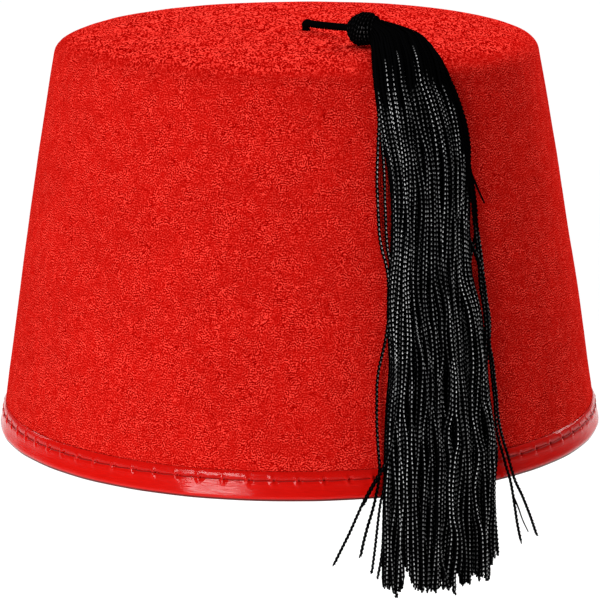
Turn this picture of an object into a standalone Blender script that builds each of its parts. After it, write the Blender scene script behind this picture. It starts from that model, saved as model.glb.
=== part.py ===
"""Felt fez hat with a satin-bound rim and a black tassel.

Metres, +Z up. The origin is the centre of the rim's underside, the front of the
hat faces -Y, and the tassel lies over the top and hangs down the front, towards +X.
"""

import math

import bpy
import bmesh
from mathutils import Vector

# Felt crown
RIM_RADIUS = 0.0943  # the felt's own line at the rim, under the ribbon's face
TOP_RADIUS = 0.0742  # where the line of the side would meet the plane of the top
CROWN_HEIGHT = 0.125
FELT_THICKNESS = 0.002
SHOULDER_REACH = 0.022  # how far the shoulder's curve runs in over the top
SHOULDER_DROP = 0.006  # how far it runs down the side
SIDE_BULGE = 0.0007  # the most that the side stands out of its straight line

# Ribbon folded over the rim
RIBBON_HEIGHT = 0.0087
RIBBON_THICKNESS = 0.0008
RIBBON_PROUD = 0.0007  # how far its face stands out of the felt's line
RIBBON_CORNER = 0.0003

# Room between pieces that touch
CLEARANCE = 0.0003

# Cord from the crown's hole to the tassel's knot
CORD_DIAMETER = 0.0024
HOLE_CLEARANCE = 0.0004  # round the cord where it passes through the felt
HOLE_X = 0.003
HOLE_Y = 0.0006
CORD_RISE = 0.0017  # height of the cord's axis over the top where it leaves the hole
STOP_KNOT_SWELL = 2.2  # the knot inside the crown, times the cord's diameter
STOP_KNOT_LENGTH = 0.004

# Wound knot at the head of the tassel
KNOT_X = 0.0195
KNOT_Y = -0.034
KNOT_DIAMETER = 0.0096
KNOT_LENGTH = 0.0098
KNOT_TURN = -0.418  # radians from +X to the knot's axis, about +Z
KNOT_WRAPS = 5
WRAP_RELIEF = 0.0003
NECK_DIAMETER = 0.0076  # the knot's blunt end, where the strands leave it

# Skirt of the tassel
SKIRT_LEFT = 0.0232  # X of the skirt's left edge as it hangs
SKIRT_WIDTH = 0.0345
SKIRT_DEPTH = 0.005
SKIRT_RUN = 0.172  # from the knot's place to the last full section, along the hat
SKIRT_TIPS = 0.017  # the longest lock's tip below that section
LOCK_COUNT = 12
LOCK_RELIEF = 0.3  # the grooves between locks, as a share of the depth
LOCK_EDGE = 0.22  # height of the skirt's edges, as a share of the depth
TIP_TAPER = ((0.6, 0.9), (1.0, 0.5))  # how far down a tip, and its width there, as shares

# Mesh fineness
TURN_STEPS = 64
SHOULDER_STEPS = 6
SIDE_STEPS = 7
LOCK_SIDES = 4
KNOT_STEPS = 20
HOLE_STEPS = 16
LINE_STEPS = 24  # of the smooth line that the skirt follows
CLOSE_SECTIONS = 0.003  # between the skirt's sections over the shoulder and at the neck
WIDE_SECTIONS = 0.008  # between those on the side
MERGE_DISTANCE = 1e-6

# One row for each section of the skirt. along says how far down the skirt its left
# and right ends lie, as shares of SKIRT_RUN, and x their places across, as shares of
# SKIRT_WIDTH from SKIRT_LEFT. depth is a share of SKIRT_DEPTH.
SKIRT_ROWS = [
    {"along_left": 0.060, "along_right": 0.046, "x_left": -0.020, "x_right": 0.300, "depth": 1.50},
    {"along_left": 0.092, "along_right": 0.108, "x_left": -0.022, "x_right": 0.480, "depth": 1.32},
    {"along_left": 0.134, "along_right": 0.168, "x_left": -0.020, "x_right": 0.560, "depth": 1.12},
    {"along_left": 0.192, "along_right": 0.212, "x_left": -0.018, "x_right": 0.620, "depth": 1.00},
    {"along_left": 0.250, "along_right": 0.250, "x_left": -0.008, "x_right": 0.710, "depth": 0.95},
    {"along_left": 0.330, "along_right": 0.330, "x_left": 0.000, "x_right": 0.800, "depth": 0.95},
    {"along_left": 0.430, "along_right": 0.430, "x_left": 0.012, "x_right": 0.845, "depth": 0.95},
    {"along_left": 0.600, "along_right": 0.600, "x_left": 0.060, "x_right": 0.920, "depth": 1.00},
    {"along_left": 0.760, "along_right": 0.760, "x_left": 0.040, "x_right": 0.985, "depth": 1.00},
    {"along_left": 0.900, "along_right": 0.900, "x_left": 0.015, "x_right": 1.020, "depth": 1.05},
    {"along_left": 1.000, "along_right": 1.000, "x_left": 0.010, "x_right": 1.000, "depth": 1.05},
]

# One row for each lock, left to right: its height as a share of the depth, and its
# tip's length as a share of SKIRT_TIPS.
LOCK_ROWS = [
    {"height": 0.86, "tip": 0.74},
    {"height": 1.00, "tip": 0.92},
    {"height": 0.90, "tip": 0.38},
    {"height": 0.98, "tip": 0.85},
    {"height": 0.88, "tip": 0.90},
    {"height": 1.00, "tip": 0.85},
    {"height": 0.92, "tip": 0.95},
    {"height": 1.00, "tip": 1.00},
    {"height": 0.87, "tip": 0.90},
    {"height": 0.97, "tip": 0.93},
    {"height": 1.00, "tip": 1.00},
    {"height": 0.84, "tip": 0.53},
]

FELT_RED = (0.60, 0.009, 0.007)
SATIN_RED = (0.66, 0.012, 0.010)
YARN_BLACK = (0.008, 0.008, 0.008)


def material(name, colour, roughness):
    """A plain finish for one kind of piece."""
    made = bpy.data.materials.new(name)
    made.use_nodes = True
    shader = made.node_tree.nodes["Principled BSDF"]
    shader.inputs["Base Color"].default_value = (*colour, 1.0)
    shader.inputs["Roughness"].default_value = roughness
    shader.inputs["Metallic"].default_value = 0.0
    return made


def add_object(name, bm, finish):
    """Turns a bmesh into a named object with smooth faces."""
    bmesh.ops.recalc_face_normals(bm, faces=bm.faces)
    mesh = bpy.data.meshes.new(name)
    bm.to_mesh(mesh)
    bm.free()
    mesh.materials.append(finish)
    mesh.shade_smooth()
    mesh.set_sharp_from_angle(angle=math.radians(40))
    made = bpy.data.objects.new(name, mesh)
    bpy.context.scene.collection.objects.link(made)
    return made


def turned(profile, steps, closed):
    """Spins (radius, height) points about +Z; a closed profile is a ring's section."""
    bm = bmesh.new()
    verts = [bm.verts.new((radius, 0, height)) for radius, height in profile]
    pairs = list(zip(verts, verts[1:]))
    if closed:
        pairs.append((verts[-1], verts[0]))
    edges = [bm.edges.new(pair) for pair in pairs]
    bmesh.ops.spin(
        bm,
        geom=verts + edges,
        cent=(0, 0, 0),
        axis=(0, 0, 1),
        angle=math.tau,
        steps=steps,
        use_merge=True,
    )
    bmesh.ops.remove_doubles(bm, verts=bm.verts, dist=MERGE_DISTANCE)
    return bm


# The hat's outer line


def side_radius(height):
    """Radius of the felt's outer face at a height on the side."""
    share = height / CROWN_HEIGHT
    straight = RIM_RADIUS + (TOP_RADIUS - RIM_RADIUS) * share
    return straight + SIDE_BULGE * 4 * share * (1 - share)


def outer_line(shoulder_steps, side_steps):
    """(radius, height) points from the top's flat middle down to the rim."""
    start = Vector((TOP_RADIUS - SHOULDER_REACH, CROWN_HEIGHT))
    corner = Vector((TOP_RADIUS, CROWN_HEIGHT))
    low = CROWN_HEIGHT - SHOULDER_DROP
    end = Vector((side_radius(low), low))
    points = []
    for step in range(shoulder_steps + 1):
        share = step / shoulder_steps
        points.append(start * (1 - share) ** 2 + corner * 2 * share * (1 - share) + end * share**2)
    for step in range(1, side_steps + 1):
        height = low * (1 - step / side_steps)
        points.append(Vector((side_radius(height), height)))
    return points


def outward(points, index):
    """The outer line's normal at one of its points."""
    before = points[max(index - 1, 0)]
    after = points[min(index + 1, len(points) - 1)]
    run = (after - before).normalized()
    return Vector((-run.y, run.x))


class HatLine:
    """Places along the hat's outer line, by distance from the middle of the top."""

    def __init__(self):
        self.points = [Vector((0.0, CROWN_HEIGHT))] + outer_line(LINE_STEPS, LINE_STEPS)
        self.normals = [Vector((0.0, 1.0)), Vector((0.0, 1.0))]
        self.normals += [outward(self.points, index) for index in range(2, len(self.points))]
        self.distances = [0.0]
        for before, after in zip(self.points, self.points[1:]):
            self.distances.append(self.distances[-1] + (after - before).length)
        self.length = self.distances[-1]

    def at(self, distance):
        """(point, normal) there; past the rim the line hangs straight down."""
        if distance >= self.length:
            past = distance - self.length
            level = Vector((1.0, 0.0))
            share = min(past / RIBBON_HEIGHT, 1.0)
            normal = (self.normals[-1] * (1 - share) + level * share).normalized()
            return self.points[-1] - Vector((0.0, past)), normal
        for index in range(1, len(self.distances)):
            if distance <= self.distances[index]:
                break
        span = self.distances[index] - self.distances[index - 1]
        share = (distance - self.distances[index - 1]) / span
        point = self.points[index - 1].lerp(self.points[index], share)
        normal = self.normals[index - 1].lerp(self.normals[index], share).normalized()
        return point, normal

    def seat(self, height):
        """Room between the felt's line and what lies on it, which clears the ribbon."""
        side = CROWN_HEIGHT - RIBBON_HEIGHT
        share = min(max((CROWN_HEIGHT - height) / side, 0.0), 1.0)
        return CLEARANCE + RIBBON_PROUD * share


# Felt crown and rim ribbon


def ribbon_seat():
    """How far the felt is pressed in under the ribbon's outer face."""
    return RIBBON_THICKNESS + CLEARANCE - RIBBON_PROUD


def make_crown(finish):
    """One moulded felt shell, pressed thinner under the ribbon, with a hole for the cord."""
    points = outer_line(SHOULDER_STEPS, SIDE_STEPS)
    seat_top = RIBBON_HEIGHT + CLEARANCE
    foot = RIBBON_THICKNESS + CLEARANCE
    outer = [(0.0, CROWN_HEIGHT)]
    outer += [(point.x, point.y) for point in points if point.y > seat_top + CLEARANCE]
    outer.append((side_radius(seat_top), seat_top))
    outer.append((side_radius(seat_top) - ribbon_seat(), seat_top))
    outer.append((side_radius(foot) - ribbon_seat(), foot))
    inner = [(side_radius(foot) - FELT_THICKNESS, foot)]
    for index in range(len(points) - 2, -1, -1):
        place = points[index] - outward(points, index) * FELT_THICKNESS
        inner.append((place.x, place.y))
    inner.append((0.0, CROWN_HEIGHT - FELT_THICKNESS))
    crown = add_object("crown", turned(outer + inner, TURN_STEPS, closed=False), finish)
    cutter_mesh = bmesh.new()
    bmesh.ops.create_cone(
        cutter_mesh,
        cap_ends=True,
        segments=HOLE_STEPS,
        radius1=CORD_DIAMETER / 2 + HOLE_CLEARANCE,
        radius2=CORD_DIAMETER / 2 + HOLE_CLEARANCE,
        depth=FELT_THICKNESS * 4,
    )
    cutter = add_object("cord_hole_cutter", cutter_mesh, finish)
    cutter.location = (HOLE_X, HOLE_Y, CROWN_HEIGHT)
    cutter.hide_render = True
    cutter.display_type = "WIRE"
    cut = crown.modifiers.new("cord_hole", "BOOLEAN")
    cut.operation = "DIFFERENCE"
    cut.object = cutter


def make_rim_binding(finish):
    """Satin ribbon folded round the crown's edge, a ring with a U for its section."""
    low = RIBBON_CORNER
    outer_top = side_radius(RIBBON_HEIGHT) + RIBBON_PROUD
    outer_foot = side_radius(0.0) + RIBBON_PROUD
    felt_inside = side_radius(0.0) - FELT_THICKNESS
    felt_inside_top = side_radius(RIBBON_HEIGHT) - FELT_THICKNESS
    section = [
        (outer_top, RIBBON_HEIGHT),
        (outer_foot, low),
        (outer_foot - RIBBON_CORNER, 0.0),
        (felt_inside - CLEARANCE - RIBBON_THICKNESS + RIBBON_CORNER, 0.0),
        (felt_inside - CLEARANCE - RIBBON_THICKNESS, low),
        (felt_inside_top - CLEARANCE - RIBBON_THICKNESS, RIBBON_HEIGHT),
        (felt_inside_top - CLEARANCE, RIBBON_HEIGHT),
        (felt_inside - CLEARANCE, RIBBON_THICKNESS),
        (outer_foot - RIBBON_THICKNESS, RIBBON_THICKNESS),
        (outer_top - RIBBON_THICKNESS, RIBBON_HEIGHT),
    ]
    add_object("rim_binding", turned(section, TURN_STEPS, closed=True), finish)


# Tassel


def knot_centre():
    return Vector((KNOT_X, KNOT_Y, CROWN_HEIGHT + CLEARANCE + KNOT_DIAMETER / 2))


def knot_axis():
    """The way from the cord's side of the knot to the strands' side."""
    return Vector((math.cos(KNOT_TURN), math.sin(KNOT_TURN), 0.0))


def make_tassel_cord(finish):
    """The cord from its stop knot inside the crown, through the hole and to the tassel."""
    inside = CROWN_HEIGHT - FELT_THICKNESS
    bend = Vector((HOLE_X, HOLE_Y, CROWN_HEIGHT + CORD_RISE))
    way = (knot_centre() - bend).normalized()
    lean = way.dot(knot_axis())
    half_length = KNOT_LENGTH / 2
    half_width = KNOT_DIAMETER / 2
    reach = 1 / math.sqrt(lean**2 / half_length**2 + (1 - lean**2) / half_width**2)
    end = knot_centre() - way * (reach + CLEARANCE)
    stop_low = inside - CLEARANCE - STOP_KNOT_LENGTH
    swell = STOP_KNOT_SWELL
    stations = [
        (Vector((HOLE_X, HOLE_Y, stop_low)), 0.6 * swell),
        (Vector((HOLE_X, HOLE_Y, stop_low + STOP_KNOT_LENGTH * 0.3)), swell),
        (Vector((HOLE_X, HOLE_Y, stop_low + STOP_KNOT_LENGTH * 0.7)), swell),
        (Vector((HOLE_X, HOLE_Y, stop_low + STOP_KNOT_LENGTH)), 1.0),
        (Vector((HOLE_X, HOLE_Y, CROWN_HEIGHT + CLEARANCE)), 1.0),
        (bend.lerp(Vector((HOLE_X, HOLE_Y, CROWN_HEIGHT)), 0.35) + way * CORD_DIAMETER * 0.12, 1.0),
        (bend + way * CORD_DIAMETER * 0.45, 1.0),
        (bend + way * CORD_DIAMETER, 1.0),
        (end, 1.0),
    ]
    data = bpy.data.curves.new("tassel_cord", "CURVE")
    data.dimensions = "3D"
    data.bevel_depth = CORD_DIAMETER / 2
    data.bevel_resolution = 2
    data.use_fill_caps = True
    spline = data.splines.new("POLY")
    spline.points.add(len(stations) - 1)
    for point, (place, swelling) in zip(spline.points, stations):
        point.co = (*place, 1.0)
        point.radius = swelling
    spline.use_smooth = True
    data.materials.append(finish)
    made = bpy.data.objects.new("tassel_cord", data)
    bpy.context.scene.collection.objects.link(made)


def make_tassel_knot(finish):
    """A wound knot, round towards the cord and blunt where the strands leave it."""
    half = KNOT_LENGTH / 2
    radius = KNOT_DIAMETER / 2
    blunt = NECK_DIAMETER / 2
    profile = [(0.0, -half)]
    steps_per_wrap = 4
    last = KNOT_WRAPS * steps_per_wrap
    for step in range(1, last):
        along = -1 + 2 * step / last
        if along < 0:
            round_share = math.sqrt(1 - along**2)
        else:
            round_share = 1 - (1 - blunt / radius) * along**3
        groove = WRAP_RELIEF * (1 + math.cos(math.tau * step / steps_per_wrap)) / 2
        profile.append((radius * round_share - groove, half * along))
    profile.append((blunt, half))
    profile.append((0.0, half))
    knot = add_object("tassel_knot", turned(profile, KNOT_STEPS, closed=False), finish)
    knot.location = knot_centre()
    knot.rotation_euler = knot_axis().to_track_quat("Z", "Y").to_euler()


def neck_row():
    """The skirt's first section, which meets the knot's blunt end."""
    centre = knot_centre() + knot_axis() * (KNOT_LENGTH / 2 + CLEARANCE)
    across = Vector((-knot_axis().y, knot_axis().x, 0.0))
    left = centre - across * NECK_DIAMETER / 2
    right = centre + across * NECK_DIAMETER / 2
    return {
        "out_left": math.hypot(left.x, left.y),
        "out_right": math.hypot(right.x, right.y),
        "x_left": left.x,
        "x_right": right.x,
        "depth": NECK_DIAMETER * 0.95,
        "lift": (KNOT_DIAMETER - NECK_DIAMETER) / 2,
    }


def skirt_rows():
    """The neck's section and those of SKIRT_ROWS, in metres."""
    knot_out = math.hypot(KNOT_X, KNOT_Y)
    rows = [neck_row()]
    for row in SKIRT_ROWS:
        rows.append(
            {
                "out_left": knot_out + SKIRT_RUN * row["along_left"],
                "out_right": knot_out + SKIRT_RUN * row["along_right"],
                "x_left": SKIRT_LEFT + SKIRT_WIDTH * row["x_left"],
                "x_right": SKIRT_LEFT + SKIRT_WIDTH * row["x_right"],
                "depth": SKIRT_DEPTH * row["depth"],
                "lift": 0.0,
            }
        )
    return rows


def between(rows, place):
    """A row at a place such as 2.4, on a smooth curve through the rows."""
    index = min(int(place), len(rows) - 2)
    share = place - index
    near = [rows[max(index - 1, 0)], rows[index], rows[index + 1], rows[min(index + 2, len(rows) - 1)]]
    found = {}
    for column in rows[0]:
        a, b, c, d = (row[column] for row in near)
        spans = [near[k + 1]["out_left"] - near[k]["out_left"] for k in range(3)]
        slope_in = (c - a) / (spans[0] + spans[1]) * spans[1]
        slope_out = (d - b) / (spans[1] + spans[2]) * spans[1]
        square, cube = share**2, share**3
        found[column] = (
            b * (2 * cube - 3 * square + 1)
            + slope_in * (cube - 2 * square + share)
            + c * (3 * square - 2 * cube)
            + slope_out * (cube - square)
        )
    return found


def skirt_point(line, row, across, height):
    """A point of the skirt: across is 0 at its left edge and 1 at its right edge."""
    out = row["out_left"] + (row["out_right"] - row["out_left"]) * across
    place_x = row["x_left"] + (row["x_right"] - row["x_left"]) * across
    point, normal = line.at(out)
    seated = point + normal * line.seat(point.y)
    turn = math.asin(max(-1.0, min(1.0, place_x / seated.x)))
    raised = seated + normal * (height + row["lift"])
    return Vector((raised.x * math.sin(turn), -raised.x * math.cos(turn), raised.y))


def lock_height(across):
    """The skirt's height across it, as a share of its depth: round edges and locks."""
    edge = math.sqrt(1 - abs(2 * across - 1) ** 3)
    lock = min(int(across * LOCK_COUNT), LOCK_COUNT - 1)
    groove = LOCK_RELIEF * (1 - math.sin(math.pi * (across * LOCK_COUNT - lock)))
    crest = LOCK_ROWS[lock % len(LOCK_ROWS)]["height"]
    return LOCK_EDGE + (1 - LOCK_EDGE) * edge * (crest - groove)


def skirt_section(line, row):
    """One section's points: the front from left to right, then the back to the left."""
    front_count = LOCK_COUNT * LOCK_SIDES
    front = []
    for step in range(front_count + 1):
        across = step / front_count
        front.append(skirt_point(line, row, across, row["depth"] * lock_height(across)))
    back = [skirt_point(line, row, 1 - step / LOCK_COUNT, 0.0) for step in range(LOCK_COUNT + 1)]
    return front + back


def section_places(line, rows):
    """Where sections are made: close together over the shoulder, wider on the side."""
    places = [0.0]
    last = len(rows) - 1
    while places[-1] < last:
        here = between(rows, places[-1])["out_left"]
        over_shoulder = TOP_RADIUS - SHOULDER_REACH < here < TOP_RADIUS + 2 * SHOULDER_DROP
        wanted = CLOSE_SECTIONS if over_shoulder or places[-1] < 2 else WIDE_SECTIONS
        index = min(int(places[-1]), last - 1)
        span = rows[index + 1]["out_left"] - rows[index]["out_left"]
        places.append(min(places[-1] + wanted / span, last))
    return places


def lock_tip(bm, ring, length):
    """Closes one lock below the last full section, tapering to its own length."""
    middle = sum((vert.co for vert in ring), Vector()) / len(ring)
    upper = ring
    for down, taper in TIP_TAPER:
        drop = Vector((0.0, 0.0, -length * down))
        lower = [bm.verts.new(middle + (vert.co - middle) * taper + drop) for vert in ring]
        for index in range(len(ring)):
            after = (index + 1) % len(ring)
            bm.faces.new((upper[index], upper[after], lower[after], lower[index]))
        upper = lower
    bm.faces.new(upper)


def make_tassel_skirt(finish):
    """Locks of strands fused to one backing, over the top, round the shoulder and down."""
    line = HatLine()
    rows = skirt_rows()
    bm = bmesh.new()
    sections = []
    for place in section_places(line, rows):
        points = skirt_section(line, between(rows, place))
        sections.append([bm.verts.new(point) for point in points])
    for upper, lower in zip(sections, sections[1:]):
        for index in range(len(upper)):
            after = (index + 1) % len(upper)
            bm.faces.new((upper[index], upper[after], lower[after], lower[index]))
    bm.faces.new(sections[0])
    last = sections[-1]
    front_count = LOCK_COUNT * LOCK_SIDES
    for lock in range(LOCK_COUNT):
        front = last[lock * LOCK_SIDES : (lock + 1) * LOCK_SIDES + 1]
        back_right = last[front_count + LOCK_COUNT - lock]
        back_left = last[front_count + LOCK_COUNT - lock + 1]
        length = SKIRT_TIPS * LOCK_ROWS[lock % len(LOCK_ROWS)]["tip"]
        lock_tip(bm, front + [back_right, back_left], length)
    add_object("tassel_skirt", bm, finish)


def main():
    for old in list(bpy.data.objects):
        bpy.data.objects.remove(old)
    felt = material("red_felt", FELT_RED, 0.95)
    satin = material("red_satin", SATIN_RED, 0.4)
    yarn = material("black_yarn", YARN_BLACK, 0.6)
    make_crown(felt)
    make_rim_binding(satin)
    make_tassel_cord(yarn)
    make_tassel_knot(yarn)
    make_tassel_skirt(yarn)


main()
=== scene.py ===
"""Looks of a felt fez with a satin-bound rim and a tassel of twisted cords.

Metres, +Z up, in the frame of the packed model: the origin is the middle of the rim's
underside, the front of the hat faces -Y, and the tassel leans towards +X.
"""

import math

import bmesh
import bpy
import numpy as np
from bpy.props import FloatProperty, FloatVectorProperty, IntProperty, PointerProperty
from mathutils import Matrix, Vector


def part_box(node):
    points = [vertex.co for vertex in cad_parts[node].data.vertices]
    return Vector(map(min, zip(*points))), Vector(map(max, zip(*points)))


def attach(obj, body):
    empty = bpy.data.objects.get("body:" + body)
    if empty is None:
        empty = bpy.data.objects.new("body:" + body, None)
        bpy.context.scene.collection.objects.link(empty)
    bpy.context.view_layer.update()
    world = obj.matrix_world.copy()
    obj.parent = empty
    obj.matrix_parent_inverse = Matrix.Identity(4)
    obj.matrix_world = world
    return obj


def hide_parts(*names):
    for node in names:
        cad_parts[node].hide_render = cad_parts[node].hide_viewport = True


bl_info = {
    "name": "Felt Fez",
    "version": (1, 0, 0),
    "blender": (4, 5, 0),
    "location": "3D View > Sidebar > Fez",
    "description": "Dresses a fez hat in felt, satin ribbon and twisted black cord",
    "category": "Object",
}

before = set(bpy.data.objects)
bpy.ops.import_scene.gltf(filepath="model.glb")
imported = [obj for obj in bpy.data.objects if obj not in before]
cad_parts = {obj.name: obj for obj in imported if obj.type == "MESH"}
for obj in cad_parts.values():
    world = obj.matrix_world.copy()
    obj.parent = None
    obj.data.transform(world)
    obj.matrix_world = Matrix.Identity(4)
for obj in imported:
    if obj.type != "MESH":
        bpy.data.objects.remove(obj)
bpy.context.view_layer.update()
BODY = "root"

# Boxes of the packed nodes that the pieces follow
CROWN_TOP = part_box("crown")[1].z
RIBBON_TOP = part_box("rim_binding")[1].z
RIBBON_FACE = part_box("rim_binding")[1].x
KNOT_CENTRE = (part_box("tassel_knot")[0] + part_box("tassel_knot")[1]) / 2


def table(names, *rows):
    """A table's rows, each a dictionary by the names of its columns."""
    return [dict(zip(names.split(), row)) for row in rows]


def column(rows, name):
    """One column of a table, from its first row to its last."""
    return np.array([row[name] for row in rows])


# The skirt's sections from the knot down. along says how far down the skirt a
# section's left and right ends lie, as shares of its run, and x where its outermost
# strands lie across, as shares of its width. depth is a share of its depth.
SKIRT_ROWS = table(
    "along_left along_right x_left x_right depth",
    (0.060, 0.046, -0.016, 0.262, 1.45),
    (0.092, 0.108, -0.020, 0.440, 1.28),
    (0.150, 0.170, -0.022, 0.528, 1.10),
    (0.200, 0.212, -0.018, 0.608, 1.00),
    (0.250, 0.250, 0.010, 0.692, 0.95),
    (0.300, 0.300, 0.044, 0.764, 0.92),
    (0.350, 0.350, 0.094, 0.792, 0.90),
    (0.420, 0.420, 0.128, 0.790, 0.90),
    (0.490, 0.490, 0.122, 0.786, 0.93),
    (0.553, 0.553, 0.094, 0.803, 0.96),
    (0.620, 0.620, 0.088, 0.880, 1.00),
    (0.690, 0.690, 0.100, 0.920, 1.00),
    (0.770, 0.770, 0.068, 0.956, 1.00),
    (0.850, 0.850, 0.053, 1.004, 1.02),
    (0.920, 0.920, 0.042, 0.994, 1.05),
    (1.000, 1.000, 0.032, 1.010, 1.05),
)

# How long the skirt's strands are by where they end across it, as shares of the
# longest tip.
TIP_ROWS = table(
    "across tip",
    (0.00, 0.80), (0.07, 0.80), (0.13, 1.00), (0.155, 0.85), (0.185, 0.50), (0.21, 0.42),
    (0.235, 0.60), (0.26, 0.84), (0.33, 0.88), (0.42, 0.92), (0.50, 0.88), (0.60, 0.90),
    (0.64, 1.06), (0.665, 0.66), (0.69, 0.96), (0.725, 0.72), (0.775, 0.92), (0.815, 0.66),
    (0.84, 0.94), (0.89, 0.76), (0.94, 0.96), (0.975, 0.62), (1.00, 0.40),
)

# Where the upper strands part and the dark of the lower ones shows: across the skirt,
# from and to as shares of its run, and the parting's width in strands.
PARTINGS = table(
    "across from to strands",
    (0.43, 0.31, 0.39, 0.8),
    (0.31, 0.35, 0.47, 1.0),
    (0.49, 0.56, 0.63, 1.2),
    (0.86, 0.58, 0.74, 2.0),
    (0.26, 0.66, 0.79, 1.7),
    (0.55, 0.70, 0.80, 1.3),
    (0.62, 0.79, 0.85, 1.3),
    (0.94, 0.78, 0.85, 1.6),
    (0.90, 0.89, 0.98, 1.4),
    (0.60, 0.97, 1.05, 1.3),
    (0.19, 0.95, 1.10, 1.0),
)

# Strands that leave the skirt. across is where each one lies in the skirt before it
# leaves, lift its height above its seat after that in strand widths, girth its
# thickness as a share of the others', and points its (along, across) places.
LOOSE_STRANDS = (
    {"across": 0.00, "lift": 0.7, "girth": 0.95, "points": (
        (0.280, 0.016), (0.306, 0.010), (0.332, 0.004), (0.357, -0.002), (0.383, -0.004), (0.414, 0.001),
        (0.448, 0.008), (0.465, 0.012), (0.483, 0.024), (0.500, 0.042), (0.518, 0.066), (0.535, 0.082),
        (0.560, 0.090), (0.622, 0.086), (0.700, 0.110), (0.850, 0.085), (1.060, 0.075))},
    {"across": 0.02, "lift": 0.8, "girth": 0.95, "points": (
        (0.280, 0.030), (0.312, 0.038), (0.335, 0.049), (0.358, 0.056), (0.384, 0.060), (0.414, 0.062),
        (0.448, 0.068), (0.473, 0.073), (0.499, 0.086), (0.520, 0.110), (0.600, 0.140), (0.760, 0.130),
        (0.900, 0.120), (1.070, 0.125))},
    {"across": 0.05, "lift": 1.0, "girth": 0.90, "points": (
        (0.540, 0.130), (0.587, 0.104), (0.622, 0.080), (0.651, 0.055), (0.668, 0.036), (0.685, 0.014),
        (0.702, -0.004), (0.719, -0.014), (0.745, -0.018), (0.780, -0.019), (0.810, -0.015), (0.840, -0.006),
        (0.866, 0.002), (0.888, -0.006), (0.906, -0.024), (0.935, -0.058), (0.964, -0.103),
        (0.991, -0.138), (1.018, -0.166))},
    {"across": 0.09, "lift": 3.2, "girth": 0.85, "points": (
        (0.720, 0.165), (0.796, 0.124), (0.828, 0.098), (0.850, 0.062), (0.872, -0.004), (0.895, -0.074),
        (0.920, -0.143), (0.947, -0.208), (0.973, -0.270), (0.998, -0.332), (1.026, -0.400))},
    {"across": 0.10, "lift": 2.2, "girth": 0.75, "points": (
        (0.740, 0.130), (0.820, 0.100), (0.850, 0.072), (0.872, 0.014), (0.895, -0.056), (0.915, -0.112),
        (0.925, -0.138))},
    {"across": 0.03, "lift": 1.5, "girth": 0.80, "points": (
        (0.820, 0.080), (0.880, 0.052), (0.903, 0.032), (0.923, 0.009), (0.941, -0.005), (0.966, -0.020),
        (0.998, -0.038), (1.045, -0.068))},
    {"across": 0.02, "lift": 1.0, "girth": 0.80, "points": (
        (0.900, 0.050), (0.988, 0.030), (1.026, 0.010), (1.045, -0.008), (1.060, -0.023))},
    {"across": 0.99, "lift": 0.8, "girth": 1.0, "points": (
        (0.250, 0.690), (0.300, 0.762), (0.338, 0.790), (0.367, 0.794), (0.401, 0.820), (0.433, 0.840),
        (0.455, 0.850), (0.472, 0.855), (0.487, 0.848), (0.505, 0.826), (0.525, 0.800), (0.570, 0.790),
        (0.640, 0.800), (0.800, 0.830), (1.050, 0.850))},
    {"across": 1.00, "lift": 0.7, "girth": 1.0, "points": (
        (0.250, 0.696), (0.303, 0.773), (0.338, 0.797), (0.367, 0.797), (0.401, 0.826), (0.433, 0.847),
        (0.468, 0.857), (0.504, 0.881), (0.539, 0.903), (0.575, 0.915), (0.592, 0.925), (0.611, 0.948),
        (0.629, 0.962), (0.655, 0.967), (0.686, 0.950), (0.720, 0.932), (0.763, 0.950), (0.800, 0.966),
        (0.866, 1.022), (0.920, 1.000), (1.050, 1.036))},
    {"across": 0.98, "lift": 1.6, "girth": 1.0, "points": (
        (0.250, 0.680), (0.314, 0.770), (0.367, 0.782), (0.433, 0.822), (0.468, 0.836), (0.504, 0.856),
        (0.539, 0.874), (0.575, 0.884), (0.611, 0.912), (0.650, 0.930), (0.700, 0.918), (0.745, 0.912),
        (0.800, 0.932), (0.900, 0.960), (1.060, 0.975))},
    {"across": 0.98, "lift": 1.1, "girth": 0.85, "points": (
        (0.540, 0.872), (0.620, 0.928), (0.660, 0.948), (0.690, 0.960), (0.714, 0.974), (0.745, 0.990),
        (0.780, 1.007), (0.806, 1.013), (0.829, 1.026), (0.850, 1.048), (0.872, 1.078), (0.896, 1.110),
        (0.918, 1.142), (0.969, 1.188), (0.999, 1.211), (1.036, 1.248))},
    {"across": 0.97, "lift": 2.0, "girth": 0.85, "points": (
        (0.540, 0.890), (0.620, 0.946), (0.660, 0.960), (0.685, 0.968), (0.696, 0.980), (0.714, 0.994),
        (0.742, 1.008), (0.771, 1.024), (0.797, 1.032), (0.833, 1.062), (0.853, 1.089), (0.874, 1.120),
        (0.898, 1.151), (0.920, 1.184), (0.948, 1.248), (0.985, 1.319), (1.030, 1.392))},
)

# Where the strands' start without painted highlight ends, across the skirt, as shares of its run; it ends
# lower at the right edge, which lies in shade.
UNLIT_START_ROWS = table(
    "across dull",
    (0.00, 0.240), (0.20, 0.262), (0.42, 0.222), (0.55, 0.214),
    (0.80, 0.214), (0.90, 0.288), (0.95, 0.380), (1.00, 0.480),
)

# Single plies that have come away from a strand: their (along, across) places, and
# their height off the hat and thickness in strand widths.
LOOSE_PLIES = (
    {"lift": 1.1, "girth": 0.6, "points": (
        (0.950, 1.174), (0.970, 1.216), (0.998, 1.263), (1.021, 1.313))},
    {"lift": 0.9, "girth": 0.9, "points": (
        (0.366, 0.790), (0.384, 0.814), (0.394, 0.836), (0.411, 0.871), (0.437, 0.928))},
)

# How far the ribbon's face stands out of the felt's line, from its upper edge at 0 to
# its fold at 1, as shares of the ribbon's own measure.
RIBBON_FORM = table(
    "down proud",
    (0.00, 0.10), (0.05, 0.45), (0.16, 0.72), (0.30, 0.78), (0.45, 0.78),
    (0.60, 0.84), (0.76, 1.06), (0.88, 1.22), (0.95, 1.12), (1.00, 0.70),
)

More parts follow.
